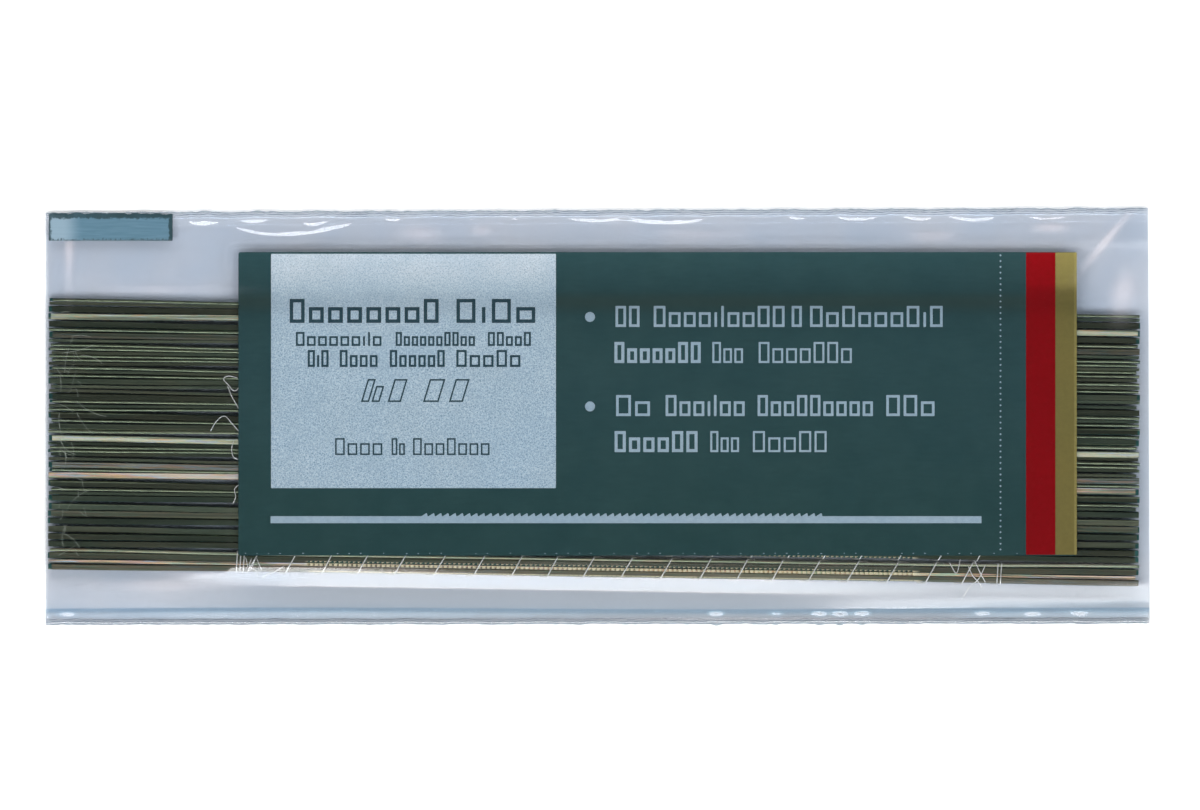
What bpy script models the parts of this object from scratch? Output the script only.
"""Packet of jeweler's saw blades.

A clear film sleeve, closed at its -X end, welded along both long edges and open
at its +X end, holds one gross of 130 mm blades: twelve bundles side by side,
each of twelve blades wound with a thin wire.  A printed card lies over the
bundles, under the front film, and a small sticker sits on the front film.

Metres, +Z up; the dimensions below are in millimetres.  +X runs along the blades
to the open mouth, +Y across them.  The back film rests on z = 0, the front film
is on top, and the origin is under the middle of the sleeve.
"""

import math

import bmesh
import bpy
from mathutils import Matrix, Vector

MM = 0.001

# ---- sleeve ------------------------------------------------------------------
SLEEVE_LENGTH = 132.0       # along the blades
SLEEVE_WIDTH = 49.6         # over both welds
FILM = 0.12                 # wall of the sleeve
WELD = 0.70                 # width of each welded rim
WELD_THICK = 0.30
WELD_Z = 1.30               # mid height of the welds
WELD_CORNER = 0.08          # bevel of the rim's outer corners, across and in height
WELD_TAPER = 0.02           # thinning of each weld face out to that bevel
BACK_FLAT = 21.50           # half width of the flat back
STACK_FLAT = (-21.30, 14.90)    # front film lies level on the bundles between these y
HOLLOW_FLAT_INSET = 0.025   # the flats are this much narrower on the inside, per side
HOLLOW_WELD_GAP = 0.05      # hollow stops this far short of the welds

# Where the card lifts the front film.  Pairs are for the -Y and the +Y side;
# a foot is (distance outside CARD_FLAT, z).
CARD_FLAT = (-17.00, 20.40)     # film lies level on the card between these y
CARD_STEP = -43.60              # x at which the film steps up onto the card
RISE_FEET = ((1.60, 1.88), (2.20, 1.43))
RISE_HOLLOW_FEET = ((1.35, 1.90), (1.95, 1.42))
RISE_HOLLOW_INSET = (0.06, 0.07)

# The bars run past the mouth by different lengths, so that no end faces coincide.
BODY_OVERRUN = 2.0
RISE_OVERRUN = 3.0
HOLLOW_OVERRUN = 8.0
RISE_HOLLOW_OVERRUN = 9.0
TRIM_OVERRUN = 12.0
TRIM_HALF_WIDTH = 30.0
TRIM_Z = (-5.0, 8.0)

# ---- blades ------------------------------------------------------------------
BLADE_LENGTH = 130.0
BLADE_DEPTH = 0.70          # back to tooth tips
BLADE_THICK = 0.34
BLADE_BACK_CHAMFER = 0.08   # along both corners of the back
TOOTH_START = 31.0          # plain length at the -X end
TOOTH_RUN = 73.0            # toothed length, with its ramps
TOOTH_SET_BACK = 0.06       # toothed stretch lies this far under the plain ends
TOOTH_RAMP = 0.6            # length of the slope at each end of the toothed stretch
TOOTH_CUT_OVERSHOOT = 0.1   # cutter reaches this far outside the tooth edge
TOOTH_CUT_THICK = 1.0

# ---- bundles -----------------------------------------------------------------
BUNDLES = 12
BUNDLE_PITCH = 2.72
BUNDLE_WIDTH = 2.26         # room for the columns of blades inside the wire
BUNDLE_HEIGHT = 1.61
LAYER_GAP = 0.03            # between blades of one column
SIDE_GAP_SHARE = 0.3        # gap beside the outer columns, as a part of the gap between columns
STACK_TILT = -0.9           # degrees, the stack lies slightly askew in the sleeve
STACK_X, STACK_Y = -0.25, -3.05
SEPARATE_BUNDLES = (1, 11, 12)  # bundles whose blades are modelled one by one

# Columns of each bundle from +Y to -Y: F is four blades lying flat, E is two
# blades standing on edge.  Every string holds twelve blades.
COLUMNS = (
    "EEFF", "FEFE", "EEEEEE", "EEEFE", "EFEEE", "FEFE",
    "FEEEE", "EFEF", "FEEF", "FFF", "FFF", "EFEF",
)
COLUMN_DROPS = (0.0, 0.12, 0.04, 0.16, 0.08, 0.14)  # column top below bundle top

# Lengthwise scatter of the blades: a sine of the bundle and blade numbers.
SCATTER = 0.30
SCATTER_EVEN_LAYER = 0.8    # factor on layers 0, 2, ... of a column
SCATTER_PHASES = (2.1, 1.7)     # radians per bundle and per blade

# Core that holds the blades of a fused bundle together.
CORE_X = -0.1
CORE_SHORTER = 2.4          # than a blade
CORE_NARROWER = 0.36        # than the bundle
CORE_BOTTOM_INSET = 0.20    # above the lowest blade
CORE_TOP_INSET = 0.30       # below the bundle's top

# ---- binding wires -----------------------------------------------------------
WIRE = 0.13
WIRE_CLEAR = 0.04           # wire to blades
WIRE_START, WIRE_END = -42.1, 46.4
WIRE_PITCH = 4.5
WIRE_END_TURNS = 2          # close turns at each end of the winding
WIRE_END_PITCH = 0.55
WIRE_SCATTER = 0.6          # lengthwise scatter of the winding's ends
WIRE_START_PHASE = 1.9      # radians per bundle
WIRE_END_PHASE, WIRE_END_PHASE_OFFSET = 2.7, 1.0

# ---- card and sticker: rectangles are x0, y0, x1, y1 -------------------------
CARD = (-42.9, -16.6, 57.3, 19.7)
CARD_THICK = 0.22
CARD_CORNER = 0.4           # corner chamfer

STICKER = (-65.6, 21.05, -50.8, 23.95)  # seen from above
STICKER_THICK = 0.08
STICKER_GAP = 0.03
STICKER_CORNER = 0.3

# ---- levels ------------------------------------------------------------------
BACK_GAP = 0.15             # back film to the wire
CARD_GAP = 0.12             # wire to card
FRONT_GAP = 0.14            # card to front film
STACK_GAP = 0.08            # wire to front film beside the card

BUNDLE_Z = FILM + BACK_GAP + WIRE + WIRE_CLEAR + BUNDLE_HEIGHT / 2
BUNDLE_TOP = BUNDLE_Z + BUNDLE_HEIGHT / 2 + WIRE_CLEAR + WIRE
CARD_Z = BUNDLE_TOP + CARD_GAP
FRONT_LOW = BUNDLE_TOP + STACK_GAP + FILM       # outside of the film over the bundles
TOP = CARD_Z + CARD_THICK + FRONT_GAP + FILM    # and over the card


# ---- scene helpers -----------------------------------------------------------
def clear_scene():
    for obj in list(bpy.data.objects):
        bpy.data.objects.remove(obj, do_unlink=True)


def new_collection(name):
    collection = bpy.data.collections.new(name)
    bpy.context.scene.collection.children.link(collection)
    return collection


def principled(name, color, roughness, metallic, alpha=1.0):
    material = bpy.data.materials.new(name)
    material.use_nodes = True
    inputs = material.node_tree.nodes["Principled BSDF"].inputs
    inputs["Base Color"].default_value = (*color, 1.0)
    inputs["Roughness"].default_value = roughness
    inputs["Metallic"].default_value = metallic
    inputs["Alpha"].default_value = alpha
    material.diffuse_color = (*color, alpha)
    return material


def add_object(name, data, collection, material=None, parent=None):
    obj = bpy.data.objects.new(name, data)
    collection.objects.link(obj)
    if material is not None:
        data.materials.append(material)
    obj.parent = parent
    return obj


def add_empty(name, collection, location=(0.0, 0.0, 0.0), turn=0.0, parent=None):
    obj = add_object(name, None, collection, parent=parent)
    obj.empty_display_size = 0.004
    obj.location = location
    obj.rotation_euler = (0.0, 0.0, turn)
    return obj


def hide_cutter(obj):
    obj.hide_render = True
    obj.display_type = "WIRE"


def boolean(obj, other, operation):
    modifier = obj.modifiers.new(operation.lower(), "BOOLEAN")
    modifier.operation = operation
    modifier.solver = "EXACT"
    modifier.object = other


# ---- mesh helpers ------------------------------------------------------------
def finish_mesh(bm, name):
    mesh = bpy.data.meshes.new(name)
    bm.to_mesh(mesh)
    bm.free()
    return mesh


def bake(obj, name, scale=1.0):
    """Welded mesh of an object's evaluated form; the object itself is removed."""
    bpy.context.view_layer.update()
    depsgraph = bpy.context.evaluated_depsgraph_get()
    mesh = bpy.data.meshes.new_from_object(obj.evaluated_get(depsgraph))
    bm = bmesh.new()
    bm.from_mesh(mesh)
    bmesh.ops.scale(bm, vec=(scale, scale, scale), verts=bm.verts)
    bmesh.ops.remove_doubles(bm, verts=bm.verts, dist=1e-7)
    bmesh.ops.dissolve_limit(bm, angle_limit=0.001, verts=bm.verts, edges=bm.edges)
    bmesh.ops.recalc_face_normals(bm, faces=bm.faces)
    bm.to_mesh(mesh)
    bm.free()
    mesh.name = name
    bpy.data.objects.remove(obj, do_unlink=True)
    return mesh


def poly_curve(name, points, dimensions):
    """Curve with one straight-sided spline through 3D points."""
    curve = bpy.data.curves.new(name, "CURVE")
    curve.dimensions = dimensions
    spline = curve.splines.new("POLY")
    spline.points.add(len(points) - 1)
    for spline_point, point in zip(spline.points, points):
        spline_point.co = (*point, 1.0)
    return curve


def plate(name, outline, thickness, collection, material=None, parent=None):
    """A 2D outline in mm, filled and extruded to its thickness about its own plane.

    The curve is drawn in mm and only its mesh is scaled down to metres.
    """
    curve = poly_curve(name, [(x, y, 0.0) for x, y in outline], "2D")
    curve.fill_mode = "BOTH"
    curve.extrude = thickness / 2
    curve.splines[0].use_cyclic_u = True
    mesh = bake(add_object(name, curve, collection), name, scale=MM)
    return add_object(name, mesh, collection, material, parent)


def chamfered_rectangle(x0, y0, x1, y1, corner):
    return [
        (x0 + corner, y0), (x1 - corner, y0), (x1, y0 + corner), (x1, y1 - corner),
        (x1 - corner, y1), (x0 + corner, y1), (x0, y1 - corner), (x0, y0 + corner),
    ]


def box(bm, center, size):
    matrix = Matrix.Translation(Vector(center) * MM) @ Matrix.Diagonal((*(Vector(size) * MM), 1.0))
    bmesh.ops.create_cube(bm, size=1.0, matrix=matrix)


# ---- sleeve: sections are in (y, z) ------------------------------------------
def body_section():
    """Outside of the sleeve over the bundles."""
    low, high = STACK_FLAT
    edge = SLEEVE_WIDTH / 2
    bottom, top = WELD_Z - WELD_THICK / 2, WELD_Z + WELD_THICK / 2
    side = [
        (BACK_FLAT, 0.0),
        (edge - WELD, bottom),
        (edge - WELD_CORNER, bottom + WELD_TAPER),
        (edge, bottom + WELD_CORNER),
        (edge, top - WELD_CORNER),
        (edge - WELD_CORNER, top - WELD_TAPER),
        (edge - WELD, top),
    ]
    mirrored = [(-y, z) for y, z in reversed(side)]
    return side + [(high, FRONT_LOW), (low, FRONT_LOW)] + mirrored


def hollow_section():
    """Inside of the sleeve over the bundles."""
    low, high = STACK_FLAT
    edge = SLEEVE_WIDTH / 2 - WELD - HOLLOW_WELD_GAP
    back = BACK_FLAT - HOLLOW_FLAT_INSET
    return [
        (back, FILM), (edge, WELD_Z), (high - HOLLOW_FLAT_INSET, FRONT_LOW - FILM),
        (low + HOLLOW_FLAT_INSET, FRONT_LOW - FILM), (-edge, WELD_Z), (-back, FILM),
    ]


def rise_section(feet, insets, top):
    """Raised part over the card; the feet end inside the section over the bundles."""
    low, high = CARD_FLAT
    (low_run, low_z), (high_run, high_z) = feet
    low_inset, high_inset = insets
    return [
        (high + high_run, high_z), (high - high_inset, top),
        (low + low_inset, top), (low - low_run, low_z),
    ]


def bar(name, section, x0, x1, collection, material=None):
    """A (y, z) section extruded along X."""
    obj = plate(name, section, x1 - x0, collection, material)
    x_mid = (x0 + x1) / 2 * MM
    obj.matrix_world = Matrix(((0, 0, 1, x_mid), (1, 0, 0, 0), (0, 1, 0, 0), (0, 0, 0, 1)))
    return obj


def make_sleeve(parts, cutters, material):
    """Two bars joined, hollowed with two cutters, and cut off square at the mouth."""
    end = SLEEVE_LENGTH / 2
    trim_section = [
        (-TRIM_HALF_WIDTH, TRIM_Z[0]), (TRIM_HALF_WIDTH, TRIM_Z[0]),
        (TRIM_HALF_WIDTH, TRIM_Z[1]), (-TRIM_HALF_WIDTH, TRIM_Z[1]),
    ]
    # name, section, start x, run past the mouth, operation
    tools = (
        ("sleeve_card_rise", rise_section(RISE_FEET, (0.0, 0.0), TOP),
         CARD_STEP, RISE_OVERRUN, "UNION"),
        ("sleeve_hollow", hollow_section(),
         -end + FILM, HOLLOW_OVERRUN, "DIFFERENCE"),
        ("sleeve_card_hollow", rise_section(RISE_HOLLOW_FEET, RISE_HOLLOW_INSET, TOP - FILM),
         CARD_STEP + FILM, RISE_HOLLOW_OVERRUN, "DIFFERENCE"),
        ("mouth_trim", trim_section, end, TRIM_OVERRUN, "DIFFERENCE"),
    )
    sleeve = bar("sleeve", body_section(), -end, end + BODY_OVERRUN, parts, material)
    for name, section, start, overrun, operation in tools:
        tool = bar(name, section, start, end + overrun, cutters)
        hide_cutter(tool)
        boolean(sleeve, tool, operation)


# ---- card and sticker --------------------------------------------------------
def make_card(parts, material, parent):
    outline = chamfered_rectangle(*CARD, CARD_CORNER)
    card = plate("label_card", outline, CARD_THICK, parts, material, parent)
    card.location.z = (CARD_Z + CARD_THICK / 2) * MM


def make_sticker(parts, material, parent):
    """Lies on the front film where it slopes from the bundles down to the +Y weld."""
    x0, y0, x1, y1 = STICKER
    shoulder = STACK_FLAT[1]
    weld_y, weld_top = SLEEVE_WIDTH / 2 - WELD, WELD_Z + WELD_THICK / 2
    slope = (FRONT_LOW - weld_top) / (weld_y - shoulder)
    angle = math.atan(slope)
    y_mid = (y0 + y1) / 2
    film_z = FRONT_LOW - slope * (y_mid - shoulder)
    lift = STICKER_GAP + STICKER_THICK / 2
    half_x = (x1 - x0) / 2
    half_y = (y1 - y0) / 2 / math.cos(angle)
    outline = chamfered_rectangle(-half_x, -half_y, half_x, half_y, STICKER_CORNER)
    sticker = plate("blue_sticker", outline, STICKER_THICK, parts, material, parent)
    sticker.rotation_euler = (-angle, 0.0, 0.0)
    sticker.location = Vector((
        (x0 + x1) / 2, y_mid + lift * math.sin(angle), film_z + lift * math.cos(angle),
    )) * MM


# ---- blades ------------------------------------------------------------------
def blade_scatter(bundle, index, layer):
    """Small lengthwise offset of a blade, so that the ends lie uneven."""
    per_bundle, per_blade = SCATTER_PHASES
    factor = 1.0 if layer % 2 else SCATTER_EVEN_LAYER
    return SCATTER * math.sin(per_bundle * bundle + per_blade * index) * factor


def column_drop(bundle, column):
    """How far the top of a column lies below the top of its bundle."""
    return COLUMN_DROPS[(3 * bundle + 2 * column + column // 2) % len(COLUMN_DROPS)]


def layout(bundle):
    """Blades of a bundle (1-based) in its own axes, in mm: (x, y, z, on edge, turned over)."""
    columns = COLUMNS[bundle - 1]
    widths = [BLADE_THICK if kind == "E" else BLADE_DEPTH for kind in columns]
    gap = (BUNDLE_WIDTH - sum(widths)) / (len(columns) - 1 + 2 * SIDE_GAP_SHARE)
    y = BUNDLE_WIDTH / 2 - SIDE_GAP_SHARE * gap
    blades = []
    for column, (kind, width) in enumerate(zip(columns, widths)):
        layers, height = (2, BLADE_DEPTH) if kind == "E" else (4, BLADE_THICK)
        top = BUNDLE_HEIGHT / 2 - column_drop(bundle, column)
        for layer in range(layers):
            x = blade_scatter(bundle, len(blades), layer)
            z = top - height / 2 - layer * (height + LAYER_GAP)
            turned = (bundle + column + layer) % 3 == 2
            blades.append((x, y - width / 2, z, kind == "E", turned))
        y -= width + gap
    return blades


def tooth_cutter(cutters):
    """Cuts the toothed stretch back a little; its ramps run on outside the blade."""
    edge = -BLADE_DEPTH / 2
    floor, outside = edge + TOOTH_SET_BACK, edge - TOOTH_CUT_OVERSHOOT
    floor_x0 = -BLADE_LENGTH / 2 + TOOTH_START + TOOTH_RAMP
    floor_x1 = floor_x0 + TOOTH_RUN - 2 * TOOTH_RAMP
    run = TOOTH_RAMP * (1.0 + TOOTH_CUT_OVERSHOOT / TOOTH_SET_BACK)
    outline = [
        (floor_x0 - run, outside), (floor_x1 + run, outside), (floor_x1, floor), (floor_x0, floor),
    ]
    cutter = plate("tooth_stretch", outline, TOOTH_CUT_THICK, cutters)
    hide_cutter(cutter)
    return cutter


def blade_mesh(parts, cutters, material):
    """One blade lying flat, teeth towards -Y: chamfered back, set-back toothed stretch."""
    bm = bmesh.new()
    box(bm, (0.0, 0.0, 0.0), (BLADE_LENGTH, BLADE_DEPTH, BLADE_THICK))
    back_edges = [
        e for e in bm.edges
        if all(v.co.y > 0 for v in e.verts)
        and abs(e.verts[0].co.x - e.verts[1].co.x) > BLADE_LENGTH / 2 * MM
    ]
    bmesh.ops.bevel(
        bm, geom=back_edges, offset=BLADE_BACK_CHAMFER * MM,
        segments=1, profile=0.5, affect="EDGES",
    )
    blank = add_object("blade_blank", finish_mesh(bm, "blade_blank"), parts)
    boolean(blank, tooth_cutter(cutters), "DIFFERENCE")
    mesh = bake(blank, "blade")
    mesh.materials.append(material)
    return mesh


def make_separate(bundle, parts, blade, parent):
    for number, (x, y, z, on_edge, turned) in enumerate(layout(bundle), 1):
        obj = add_object(f"blade_{bundle:02d}_{number:02d}", blade, parts, parent=parent)
        obj.location = (x * MM, y * MM, z * MM)
        roll = (math.pi / 2 if on_edge else 0.0) + (math.pi if turned else 0.0)
        obj.rotation_euler = (roll, 0.0, 0.0)


def make_fused(bundle, parts, cutters, material, parent):
    """Twelve plain bars held as one: a core inside the bundle, joined to every blade."""
    name = f"bundle_{bundle:02d}"
    blades_bm = bmesh.new()
    lowest = math.inf
    for x, y, z, on_edge, _ in layout(bundle):
        width, height = (BLADE_THICK, BLADE_DEPTH) if on_edge else (BLADE_DEPTH, BLADE_THICK)
        box(blades_bm, (x, y, z), (BLADE_LENGTH, width, height))
        lowest = min(lowest, z - height / 2)

    bottom, top = lowest + CORE_BOTTOM_INSET, BUNDLE_HEIGHT / 2 - CORE_TOP_INSET
    core_bm = bmesh.new()
    box(core_bm, (CORE_X, 0.0, (bottom + top) / 2),
        (BLADE_LENGTH - CORE_SHORTER, BUNDLE_WIDTH - CORE_NARROWER, top - bottom))

    core = add_object(name, finish_mesh(core_bm, name), parts, material, parent)
    blades_name = f"{name}_blades"
    blades = add_object(blades_name, finish_mesh(blades_bm, blades_name), cutters, parent=parent)
    hide_cutter(blades)
    boolean(core, blades, "UNION")


# ---- binding wires -----------------------------------------------------------
def winding(bundle):
    """Centre line of one wire in its bundle's axes, in metres: a coil around the bundle's box."""
    half_y = BUNDLE_WIDTH / 2 + WIRE_CLEAR + WIRE / 2
    half_z = BUNDLE_HEIGHT / 2 + WIRE_CLEAR + WIRE / 2
    corners = [(-half_y, half_z), (half_y, half_z), (half_y, -half_z), (-half_y, -half_z)]
    legs = [2 * half_y, 2 * half_z, 2 * half_y, 2 * half_z]
    turn_length = sum(legs)
    start = WIRE_START - STACK_X + WIRE_SCATTER * math.sin(WIRE_START_PHASE * bundle)
    end_phase = WIRE_END_PHASE * bundle + WIRE_END_PHASE_OFFSET
    end = WIRE_END - STACK_X + WIRE_SCATTER * math.sin(end_phase)
    close = WIRE_END_TURNS * WIRE_END_PITCH
    x = start
    points = []
    while x <= end + 1e-9:
        side = len(points) % 4
        y, z = corners[side]
        points.append((x * MM, y * MM, z * MM))
        pitch = WIRE_END_PITCH if x < start + close or x > end - close else WIRE_PITCH
        x += pitch * legs[side] / turn_length
    return points


def make_wire(bundle, parts, material, parent):
    name = f"binding_wire_{bundle:02d}"
    curve = poly_curve(name, winding(bundle), "3D")
    curve.bevel_depth = WIRE / 2 * MM
    curve.bevel_resolution = 0
    curve.use_fill_caps = True
    add_object(name, curve, parts, material, parent)


# ---- assembly ----------------------------------------------------------------
def make_stack(parts, cutters, steel, wire_steel, parent):
    stack = add_empty(
        "stack", parts, location=Vector((STACK_X, STACK_Y, BUNDLE_Z)) * MM,
        turn=math.radians(STACK_TILT), parent=parent,
    )
    blade = blade_mesh(parts, cutters, steel)
    for n in range(1, BUNDLES + 1):
        y = ((BUNDLES + 1) / 2 - n) * BUNDLE_PITCH * MM
        slide = add_empty(f"bundle_{n:02d}_slide", parts, location=(0.0, y, 0.0), parent=stack)
        if n in SEPARATE_BUNDLES:
            make_separate(n, parts, blade, slide)
        else:
            make_fused(n, parts, cutters, steel, slide)
        make_wire(n, parts, wire_steel, slide)


def main():
    clear_scene()
    parts = new_collection("saw_blade_packet")
    cutters = new_collection("cutters")
    film = principled(
        "clear_film", color=(0.72, 0.78, 0.84), roughness=0.12, metallic=0.0, alpha=0.35)
    steel = principled("blade_steel", color=(0.27, 0.28, 0.24), roughness=0.38, metallic=1.0)
    wire_steel = principled("wire_steel", color=(0.62, 0.61, 0.57), roughness=0.30, metallic=1.0)
    card = principled("printed_card", color=(0.030, 0.068, 0.074), roughness=0.55, metallic=0.0)
    blue = principled("blue_film", color=(0.107, 0.216, 0.305), roughness=0.35, metallic=0.0)

    root = add_empty("packet", parts)
    make_sleeve(parts, cutters, film)
    make_sticker(parts, blue, root)
    make_card(parts, card, add_empty("card_slide", parts, parent=root))
    make_stack(parts, cutters, steel, wire_steel, root)


main()
